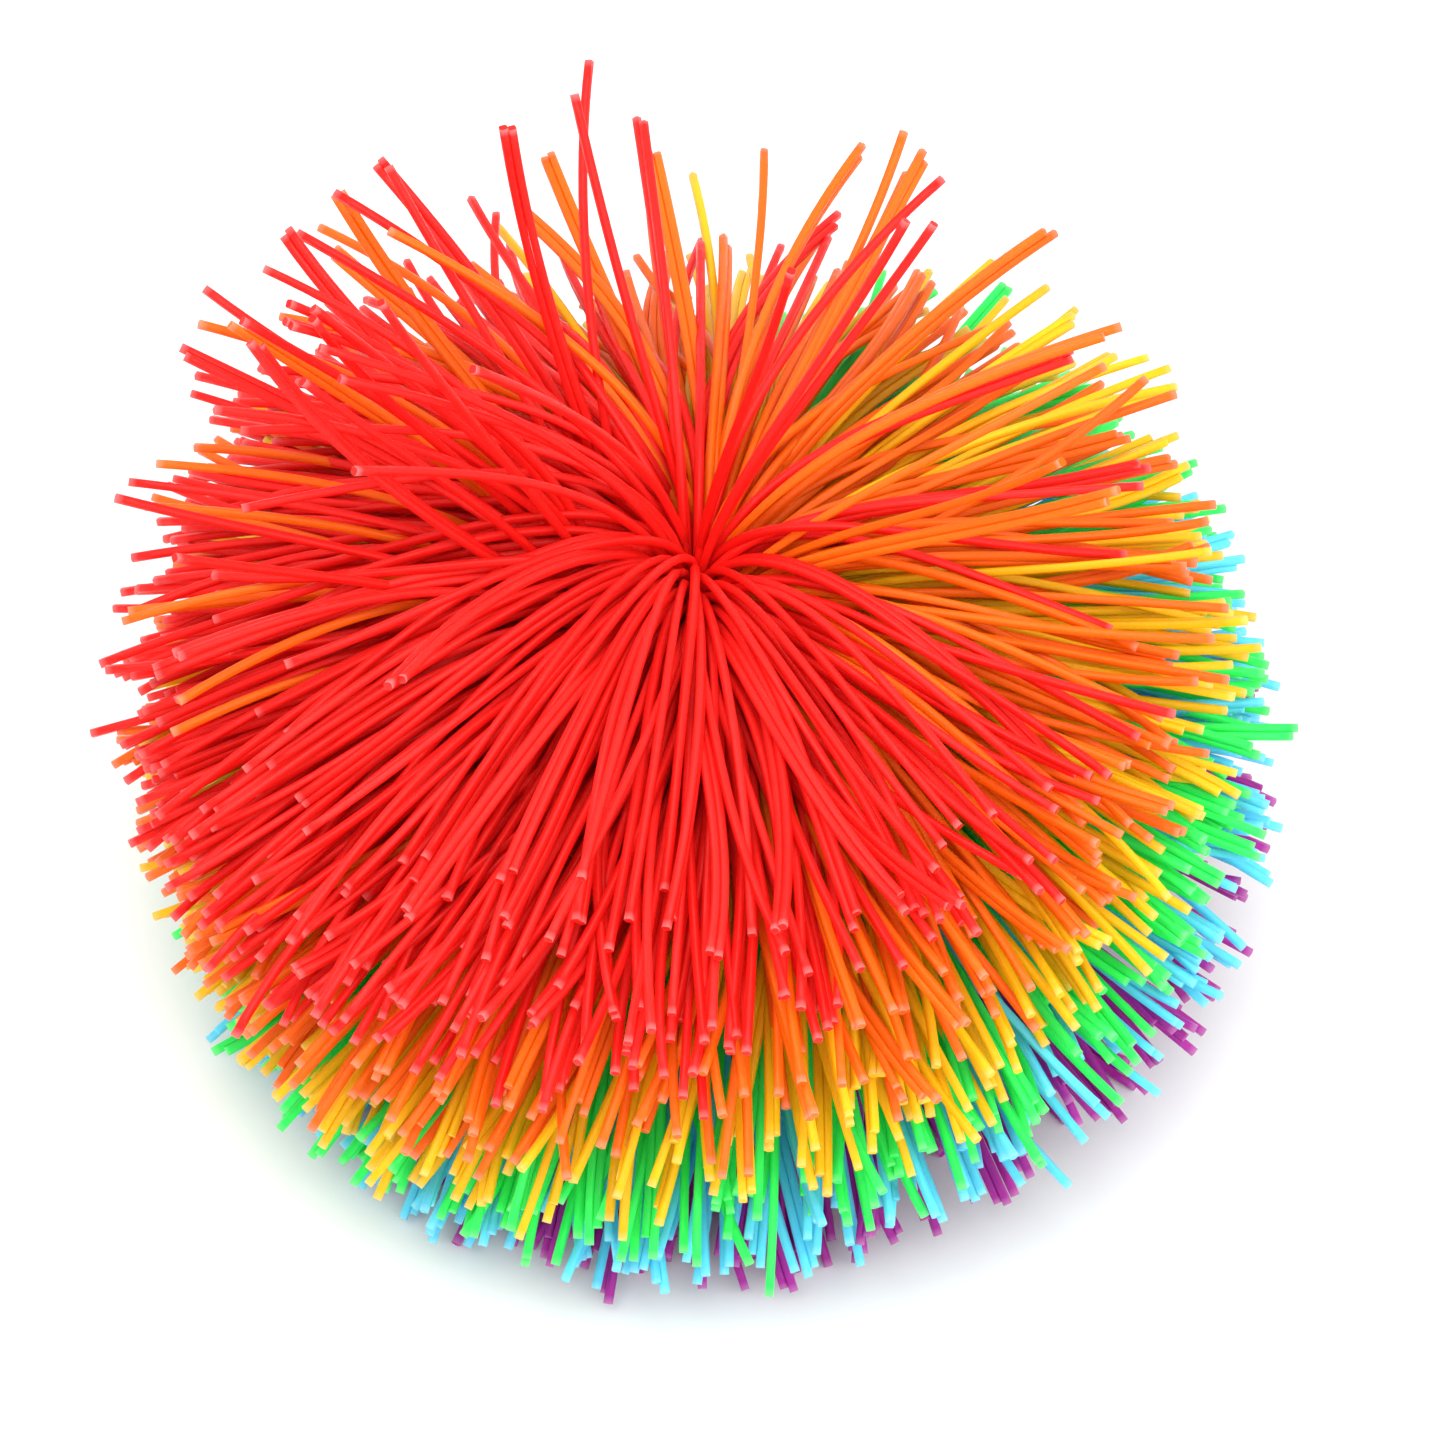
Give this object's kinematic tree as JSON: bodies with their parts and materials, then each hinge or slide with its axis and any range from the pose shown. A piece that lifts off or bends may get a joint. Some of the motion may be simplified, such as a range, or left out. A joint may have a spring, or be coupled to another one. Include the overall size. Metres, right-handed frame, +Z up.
{
  "type": "rubber string ball",
  "caption": "Squeezable ball of coloured rubber filaments in rainbow layers, bound round the middle by a cable tie and bursting outwards.",
  "frame": {"origin": "on the surface the ball lies on, straight below the middle of the cable tie", "axes": "+Z up; +X runs along the bundle, through the cable tie, towards the side the layers lean away from; +Y is away from the front, where the red filaments hang over the other colours"},
  "size_m": [0.0924, 0.0924, 0.0726],
  "materials": {
    "red_rubber": "semi-gloss",
    "orange_rubber": "semi-gloss",
    "yellow_rubber": "semi-gloss",
    "green_rubber": "semi-gloss",
    "blue_rubber": "semi-gloss",
    "purple_rubber": "semi-gloss",
    "tie_nylon": "satin"
  },
  "bodies": {
    "bound_middle": {"cable_tie": "tie_nylon", "red_waist": "red_rubber", "orange_waist": "orange_rubber", "yellow_waist": "yellow_rubber", "green_waist": "green_rubber", "blue_waist": "blue_rubber", "purple_waist": "purple_rubber"},
    "red_tuft_left_1": {"red_tuft_left_1": "red_rubber"},
    "red_tuft_left_2": {"red_tuft_left_2": "red_rubber"},
    "red_tuft_left_3": {"red_tuft_left_3": "red_rubber"},
    "red_tuft_left_4": {"red_tuft_left_4": "red_rubber"},
    "red_tuft_right_1": {"red_tuft_right_1": "red_rubber"},
    "red_tuft_right_2": {"red_tuft_right_2": "red_rubber"},
    "red_tuft_right_3": {"red_tuft_right_3": "red_rubber"},
    "red_tuft_right_4": {"red_tuft_right_4": "red_rubber"},
    "orange_tuft_left_1": {"orange_tuft_left_1": "orange_rubber"},
    "orange_tuft_left_2": {"orange_tuft_left_2": "orange_rubber"},
    "orange_tuft_left_3": {"orange_tuft_left_3": "orange_rubber"},
    "orange_tuft_left_4": {"orange_tuft_left_4": "orange_rubber"},
    "orange_tuft_right_1": {"orange_tuft_right_1": "orange_rubber"},
    "orange_tuft_right_2": {"orange_tuft_right_2": "orange_rubber"},
    "orange_tuft_right_3": {"orange_tuft_right_3": "orange_rubber"},
    "orange_tuft_right_4": {"orange_tuft_right_4": "orange_rubber"},
    "yellow_tuft_left_1": {"yellow_tuft_left_1": "yellow_rubber"},
    "yellow_tuft_left_2": {"yellow_tuft_left_2": "yellow_rubber"},
    "yellow_tuft_left_3": {"yellow_tuft_left_3": "yellow_rubber"},
    "yellow_tuft_left_4": {"yellow_tuft_left_4": "yellow_rubber"},
    "yellow_tuft_right_1": {"yellow_tuft_right_1": "yellow_rubber"},
    "yellow_tuft_right_2": {"yellow_tuft_right_2": "yellow_rubber"},
    "yellow_tuft_right_3": {"yellow_tuft_right_3": "yellow_rubber"},
    "yellow_tuft_right_4": {"yellow_tuft_right_4": "yellow_rubber"},
    "green_tuft_left_1": {"green_tuft_left_1": "green_rubber"},
    "green_tuft_left_2": {"green_tuft_left_2": "green_rubber"},
    "green_tuft_left_3": {"green_tuft_left_3": "green_rubber"},
    "green_tuft_left_4": {"green_tuft_left_4": "green_rubber"},
    "green_tuft_right_1": {"green_tuft_right_1": "green_rubber"},
    "green_tuft_right_2": {"green_tuft_right_2": "green_rubber"},
    "green_tuft_right_3": {"green_tuft_right_3": "green_rubber"},
    "green_tuft_right_4": {"green_tuft_right_4": "green_rubber"},
    "blue_tuft_left_1": {"blue_tuft_left_1": "blue_rubber"},
    "blue_tuft_left_2": {"blue_tuft_left_2": "blue_rubber"},
    "blue_tuft_left_3": {"blue_tuft_left_3": "blue_rubber"},
    "blue_tuft_left_4": {"blue_tuft_left_4": "blue_rubber"},
    "blue_tuft_right_1": {"blue_tuft_right_1": "blue_rubber"},
    "blue_tuft_right_2": {"blue_tuft_right_2": "blue_rubber"},
    "blue_tuft_right_3": {"blue_tuft_right_3": "blue_rubber"},
    "blue_tuft_right_4": {"blue_tuft_right_4": "blue_rubber"},
    "purple_tuft_left_1": {"purple_tuft_left_1": "purple_rubber"},
    "purple_tuft_left_2": {"purple_tuft_left_2": "purple_rubber"},
    "purple_tuft_left_3": {"purple_tuft_left_3": "purple_rubber"},
    "purple_tuft_left_4": {"purple_tuft_left_4": "purple_rubber"},
    "purple_tuft_right_1": {"purple_tuft_right_1": "purple_rubber"},
    "purple_tuft_right_2": {"purple_tuft_right_2": "purple_rubber"},
    "purple_tuft_right_3": {"purple_tuft_right_3": "purple_rubber"},
    "purple_tuft_right_4": {"purple_tuft_right_4": "purple_rubber"}
  },
  "joints": [
    {"name": "red_tuft_left_1_bend", "type": "hinge", "parent": "bound_middle", "child": "red_tuft_left_1", "pos_m": [-0.00679, 0.00588, 0.03596], "axis": [-0.8232, -0.3827, -0.4194], "range_deg": [-3.5, 3.5], "stiffness_Nm_per_rad": 0.02},
    {"name": "red_tuft_left_2_bend", "type": "hinge", "parent": "bound_middle", "child": "red_tuft_left_2", "pos_m": [-0.00985, 0.00243, 0.0344], "axis": [-0.341, -0.9239, -0.1737], "range_deg": [-3.5, 3.5], "stiffness_Nm_per_rad": 0.02},
    {"name": "red_tuft_left_3_bend", "type": "hinge", "parent": "bound_middle", "child": "red_tuft_left_3", "pos_m": [-0.00985, -0.00243, 0.0344], "axis": [0.341, -0.9239, 0.1737], "range_deg": [-3.5, 3.5], "stiffness_Nm_per_rad": 0.02},
    {"name": "red_tuft_left_4_bend", "type": "hinge", "parent": "bound_middle", "child": "red_tuft_left_4", "pos_m": [-0.00679, -0.00588, 0.03596], "axis": [0.8232, -0.3827, 0.4194], "range_deg": [-3.5, 3.5], "stiffness_Nm_per_rad": 0.02},
    {"name": "red_tuft_right_1_bend", "type": "hinge", "parent": "bound_middle", "child": "red_tuft_right_1", "pos_m": [-0.00074, -0.00985, 0.03481], "axis": [0.7443, 0.341, 0.5742], "range_deg": [-3.5, 3.5], "stiffness_Nm_per_rad": 0.02},
    {"name": "red_tuft_right_2_bend", "type": "hinge", "parent": "bound_middle", "child": "red_tuft_right_2", "pos_m": [0.00162, -0.00679, 0.03776], "axis": [0.1506, 0.8232, 0.5475], "range_deg": [-3.5, 3.5], "stiffness_Nm_per_rad": 0.02},
    {"name": "red_tuft_right_3_bend", "type": "hinge", "parent": "bound_middle", "child": "red_tuft_right_3", "pos_m": [0.00062, -0.00245, 0.03973], "axis": [-0.5314, 0.8232, 0.2], "range_deg": [-3.5, 3.5], "stiffness_Nm_per_rad": 0.02},
    {"name": "red_tuft_right_4_bend", "type": "hinge", "parent": "bound_middle", "child": "red_tuft_right_4", "pos_m": [-0.00316, 0.00061, 0.03956], "axis": [-0.9021, 0.341, -0.2646], "range_deg": [-3.5, 3.5], "stiffness_Nm_per_rad": 0.02},
    {"name": "orange_tuft_left_1_bend", "type": "hinge", "parent": "bound_middle", "child": "orange_tuft_left_1", "pos_m": [-0.00629, 0.00955, 0.03163], "axis": [-0.8232, -0.3827, -0.4194], "range_deg": [-3.5, 3.5], "stiffness_Nm_per_rad": 0.02},
    {"name": "orange_tuft_left_2_bend", "type": "hinge", "parent": "bound_middle", "child": "orange_tuft_left_2", "pos_m": [-0.01128, 0.00396, 0.02909], "axis": [-0.341, -0.9239, -0.1737], "range_deg": [-3.5, 3.5], "stiffness_Nm_per_rad": 0.02},
    {"name": "orange_tuft_left_3_bend", "type": "hinge", "parent": "bound_middle", "child": "orange_tuft_left_3", "pos_m": [-0.01128, -0.00396, 0.02909], "axis": [0.341, -0.9239, 0.1737], "range_deg": [-3.5, 3.5], "stiffness_Nm_per_rad": 0.02},
    {"name": "orange_tuft_left_4_bend", "type": "hinge", "parent": "bound_middle", "child": "orange_tuft_left_4", "pos_m": [-0.00629, -0.00955, 0.03163], "axis": [0.8232, -0.3827, 0.4194], "range_deg": [-3.5, 3.5], "stiffness_Nm_per_rad": 0.02},
    {"name": "orange_tuft_right_1_bend", "type": "hinge", "parent": "bound_middle", "child": "orange_tuft_right_1", "pos_m": [0.00303, -0.01128, 0.03077], "axis": [0.7443, 0.341, 0.5742], "range_deg": [-3.5, 3.5], "stiffness_Nm_per_rad": 0.02},
    {"name": "orange_tuft_right_2_bend", "type": "hinge", "parent": "bound_middle", "child": "orange_tuft_right_2", "pos_m": [0.00686, -0.00629, 0.03557], "axis": [0.1506, 0.8232, 0.5475], "range_deg": [-3.5, 3.5], "stiffness_Nm_per_rad": 0.02},
    {"name": "orange_tuft_right_3_bend", "type": "hinge", "parent": "bound_middle", "child": "orange_tuft_right_3", "pos_m": [0.00523, 0.00076, 0.03877], "axis": [-0.5314, 0.8232, 0.2], "range_deg": [-3.5, 3.5], "stiffness_Nm_per_rad": 0.02},
    {"name": "orange_tuft_right_4_bend", "type": "hinge", "parent": "bound_middle", "child": "orange_tuft_right_4", "pos_m": [-0.00091, 0.00575, 0.0385], "axis": [-0.9021, 0.341, -0.2646], "range_deg": [-3.5, 3.5], "stiffness_Nm_per_rad": 0.02},
    {"name": "yellow_tuft_left_1_bend", "type": "hinge", "parent": "bound_middle", "child": "yellow_tuft_left_1", "pos_m": [-0.00529, 0.01076, 0.02856], "axis": [-0.8232, -0.3827, -0.4194], "range_deg": [-3.5, 3.5], "stiffness_Nm_per_rad": 0.02},
    {"name": "yellow_tuft_left_2_bend", "type": "hinge", "parent": "bound_middle", "child": "yellow_tuft_left_2", "pos_m": [-0.0109, 0.00446, 0.0257], "axis": [-0.341, -0.9239, -0.1737], "range_deg": [-3.5, 3.5], "stiffness_Nm_per_rad": 0.02},
    {"name": "yellow_tuft_left_3_bend", "type": "hinge", "parent": "bound_middle", "child": "yellow_tuft_left_3", "pos_m": [-0.0109, -0.00446, 0.0257], "axis": [0.341, -0.9239, 0.1737], "range_deg": [-3.5, 3.5], "stiffness_Nm_per_rad": 0.02},
    {"name": "yellow_tuft_left_4_bend", "type": "hinge", "parent": "bound_middle", "child": "yellow_tuft_left_4", "pos_m": [-0.00529, -0.01076, 0.02856], "axis": [0.8232, -0.3827, 0.4194], "range_deg": [-3.5, 3.5], "stiffness_Nm_per_rad": 0.02},
    {"name": "yellow_tuft_right_1_bend", "type": "hinge", "parent": "bound_middle", "child": "yellow_tuft_right_1", "pos_m": [0.00501, -0.0109, 0.02798], "axis": [0.7443, 0.341, 0.5742], "range_deg": [-3.5, 3.5], "stiffness_Nm_per_rad": 0.02},
    {"name": "yellow_tuft_right_2_bend", "type": "hinge", "parent": "bound_middle", "child": "yellow_tuft_right_2", "pos_m": [0.00933, -0.00529, 0.03339], "axis": [0.1506, 0.8232, 0.5475], "range_deg": [-3.5, 3.5], "stiffness_Nm_per_rad": 0.02},
    {"name": "yellow_tuft_right_3_bend", "type": "hinge", "parent": "bound_middle", "child": "yellow_tuft_right_3", "pos_m": [0.00749, 0.00265, 0.03699], "axis": [-0.5314, 0.8232, 0.2], "range_deg": [-3.5, 3.5], "stiffness_Nm_per_rad": 0.02},
    {"name": "yellow_tuft_right_4_bend", "type": "hinge", "parent": "bound_middle", "child": "yellow_tuft_right_4", "pos_m": [0.00058, 0.00827, 0.03668], "axis": [-0.9021, 0.341, -0.2646], "range_deg": [-3.5, 3.5], "stiffness_Nm_per_rad": 0.02},
    {"name": "green_tuft_left_1_bend", "type": "hinge", "parent": "bound_middle", "child": "green_tuft_left_1", "pos_m": [-0.00409, 0.01109, 0.02592], "axis": [-0.8232, -0.3827, -0.4194], "range_deg": [-3.5, 3.5], "stiffness_Nm_per_rad": 0.02},
    {"name": "green_tuft_left_2_bend", "type": "hinge", "parent": "bound_middle", "child": "green_tuft_left_2", "pos_m": [-0.00988, 0.00459, 0.02297], "axis": [-0.341, -0.9239, -0.1737], "range_deg": [-3.5, 3.5], "stiffness_Nm_per_rad": 0.02},
    {"name": "green_tuft_left_3_bend", "type": "hinge", "parent": "bound_middle", "child": "green_tuft_left_3", "pos_m": [-0.00988, -0.00459, 0.02297], "axis": [0.341, -0.9239, 0.1737], "range_deg": [-3.5, 3.5], "stiffness_Nm_per_rad": 0.02},
    {"name": "green_tuft_left_4_bend", "type": "hinge", "parent": "bound_middle", "child": "green_tuft_left_4", "pos_m": [-0.00409, -0.01109, 0.02592], "axis": [0.8232, -0.3827, 0.4194], "range_deg": [-3.5, 3.5], "stiffness_Nm_per_rad": 0.02},
    {"name": "green_tuft_right_1_bend", "type": "hinge", "parent": "bound_middle", "child": "green_tuft_right_1", "pos_m": [0.00638, -0.00988, 0.0256], "axis": [0.7443, 0.341, 0.5742], "range_deg": [-3.5, 3.5], "stiffness_Nm_per_rad": 0.02},
    {"name": "green_tuft_right_2_bend", "type": "hinge", "parent": "bound_middle", "child": "green_tuft_right_2", "pos_m": [0.01082, -0.00409, 0.03118], "axis": [0.1506, 0.8232, 0.5475], "range_deg": [-3.5, 3.5], "stiffness_Nm_per_rad": 0.02},
    {"name": "green_tuft_right_3_bend", "type": "hinge", "parent": "bound_middle", "child": "green_tuft_right_3", "pos_m": [0.00893, 0.00409, 0.03489], "axis": [-0.5314, 0.8232, 0.2], "range_deg": [-3.5, 3.5], "stiffness_Nm_per_rad": 0.02},
    {"name": "green_tuft_right_4_bend", "type": "hinge", "parent": "bound_middle", "child": "green_tuft_right_4", "pos_m": [0.00181, 0.00988, 0.03457], "axis": [-0.9021, 0.341, -0.2646], "range_deg": [-3.5, 3.5], "stiffness_Nm_per_rad": 0.02},
    {"name": "blue_tuft_left_1_bend", "type": "hinge", "parent": "bound_middle", "child": "blue_tuft_left_1", "pos_m": [-0.00238, 0.01063, 0.02296], "axis": [-0.8232, -0.3827, -0.4194], "range_deg": [-3.5, 3.5], "stiffness_Nm_per_rad": 0.02},
    {"name": "blue_tuft_left_2_bend", "type": "hinge", "parent": "bound_middle", "child": "blue_tuft_left_2", "pos_m": [-0.00792, 0.0044, 0.02014], "axis": [-0.341, -0.9239, -0.1737], "range_deg": [-3.5, 3.5], "stiffness_Nm_per_rad": 0.02},
    {"name": "blue_tuft_left_3_bend", "type": "hinge", "parent": "bound_middle", "child": "blue_tuft_left_3", "pos_m": [-0.00792, -0.0044, 0.02014], "axis": [0.341, -0.9239, 0.1737], "range_deg": [-3.5, 3.5], "stiffness_Nm_per_rad": 0.02},
    {"name": "blue_tuft_left_4_bend", "type": "hinge", "parent": "bound_middle", "child": "blue_tuft_left_4", "pos_m": [-0.00238, -0.01063, 0.02296], "axis": [0.8232, -0.3827, 0.4194], "range_deg": [-3.5, 3.5], "stiffness_Nm_per_rad": 0.02},
    {"name": "blue_tuft_right_1_bend", "type": "hinge", "parent": "bound_middle", "child": "blue_tuft_right_1", "pos_m": [0.00749, -0.00792, 0.02299], "axis": [0.7443, 0.341, 0.5742], "range_deg": [-3.5, 3.5], "stiffness_Nm_per_rad": 0.02},
    {"name": "blue_tuft_right_2_bend", "type": "hinge", "parent": "bound_middle", "child": "blue_tuft_right_2", "pos_m": [0.01176, -0.00238, 0.02834], "axis": [0.1506, 0.8232, 0.5475], "range_deg": [-3.5, 3.5], "stiffness_Nm_per_rad": 0.02},
    {"name": "blue_tuft_right_3_bend", "type": "hinge", "parent": "bound_middle", "child": "blue_tuft_right_3", "pos_m": [0.00994, 0.00547, 0.0319], "axis": [-0.5314, 0.8232, 0.2], "range_deg": [-3.5, 3.5], "stiffness_Nm_per_rad": 0.02},
    {"name": "blue_tuft_right_4_bend", "type": "hinge", "parent": "bound_middle", "child": "blue_tuft_right_4", "pos_m": [0.00311, 0.01102, 0.03159], "axis": [-0.9021, 0.341, -0.2646], "range_deg": [-3.5, 3.5], "stiffness_Nm_per_rad": 0.02},
    {"name": "purple_tuft_left_1_bend", "type": "hinge", "parent": "bound_middle", "child": "purple_tuft_left_1", "pos_m": [0.00131, 0.00742, 0.01866], "axis": [-0.8232, -0.3827, -0.4194], "range_deg": [-3.5, 3.5], "stiffness_Nm_per_rad": 0.08},
    {"name": "purple_tuft_left_2_bend", "type": "hinge", "parent": "bound_middle", "child": "purple_tuft_left_2", "pos_m": [-0.00256, 0.00307, 0.01669], "axis": [-0.341, -0.9239, -0.1737], "range_deg": [-3.5, 3.5], "stiffness_Nm_per_rad": 0.08},
    {"name": "purple_tuft_left_3_bend", "type": "hinge", "parent": "bound_middle", "child": "purple_tuft_left_3", "pos_m": [-0.00256, -0.00307, 0.01669], "axis": [0.341, -0.9239, 0.1737], "range_deg": [-3.5, 3.5], "stiffness_Nm_per_rad": 0.08},
    {"name": "purple_tuft_left_4_bend", "type": "hinge", "parent": "bound_middle", "child": "purple_tuft_left_4", "pos_m": [0.00131, -0.00742, 0.01866], "axis": [0.8232, -0.3827, 0.4194], "range_deg": [-3.5, 3.5], "stiffness_Nm_per_rad": 0.08},
    {"name": "purple_tuft_right_1_bend", "type": "hinge", "parent": "bound_middle", "child": "purple_tuft_right_1", "pos_m": [0.00787, -0.00256, 0.01931], "axis": [0.7443, 0.341, 0.5742], "range_deg": [-3.5, 3.5], "stiffness_Nm_per_rad": 0.08},
    {"name": "purple_tuft_right_2_bend", "type": "hinge", "parent": "bound_middle", "child": "purple_tuft_right_2", "pos_m": [0.01085, 0.00131, 0.02304], "axis": [0.1506, 0.8232, 0.5475], "range_deg": [-3.5, 3.5], "stiffness_Nm_per_rad": 0.08},
    {"name": "purple_tuft_right_3_bend", "type": "hinge", "parent": "bound_middle", "child": "purple_tuft_right_3", "pos_m": [0.00958, 0.00679, 0.02553], "axis": [-0.5314, 0.8232, 0.2], "range_deg": [-3.5, 3.5], "stiffness_Nm_per_rad": 0.08},
    {"name": "purple_tuft_right_4_bend", "type": "hinge", "parent": "bound_middle", "child": "purple_tuft_right_4", "pos_m": [0.00482, 0.01066, 0.02532], "axis": [-0.9021, 0.341, -0.2646], "range_deg": [-3.5, 3.5], "stiffness_Nm_per_rad": 0.08}
  ]
}
